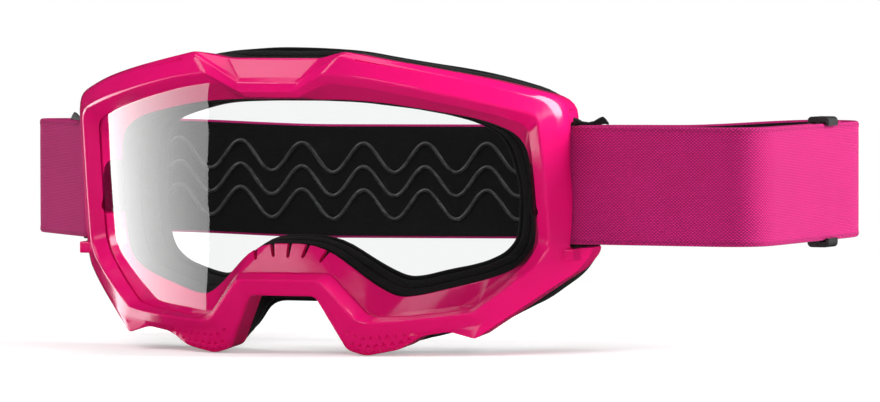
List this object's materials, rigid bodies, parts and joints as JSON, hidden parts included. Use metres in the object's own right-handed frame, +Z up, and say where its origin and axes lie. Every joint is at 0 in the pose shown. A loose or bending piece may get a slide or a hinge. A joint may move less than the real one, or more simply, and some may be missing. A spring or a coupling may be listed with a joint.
{
  "type": "motocross goggles",
  "caption": "Wrapped goggle frame with a clear lens, layered face foam and a looped elastic strap with adjusting sliders.",
  "frame": {"origin": "middle of the face seal: on the frame's plane of symmetry, at eye height, where the foam meets the brow", "axes": "+X towards the wearer's left, +Y back towards the face and head, +Z up; the lens faces -Y"},
  "size_m": [0.293, 0.1609, 0.1062],
  "materials": {
    "frame_pink": "glossy moulded hot pink",
    "lens_clear": "clear polished polycarbonate",
    "foam_black": "black closed-cell foam",
    "fleece_black": "black brushed fleece",
    "webbing_pink": "pink elastic webbing, black inside",
    "silicone_black": "satin black silicone",
    "slider_black": "dark grey moulded nylon"
  },
  "bodies": {
    "goggles": {"frame": "frame_pink", "lens": "lens_clear", "vent_foam": "foam_black", "foam_base": "foam_black", "foam_mid": "foam_black", "foam_fleece": "fleece_black", "strap": "webbing_pink", "grip_bead_top": "silicone_black", "grip_bead_middle": "silicone_black", "grip_bead_bottom": "silicone_black"},
    "left_slider": {"slider_left": "slider_black"},
    "right_slider": {"slider_right": "slider_black"}
  },
  "joints": [
    {"name": "slider_right_travel", "type": "slide", "parent": "goggles", "child": "right_slider", "axis": [0.1094, 0.994, 0], "range_m": [-0.03, 0.006]},
    {"name": "slider_left_travel", "type": "slide", "parent": "goggles", "child": "left_slider", "axis": [0.976, 0.2177, 0], "range_m": [-0.002, 0.016]}
  ]
}
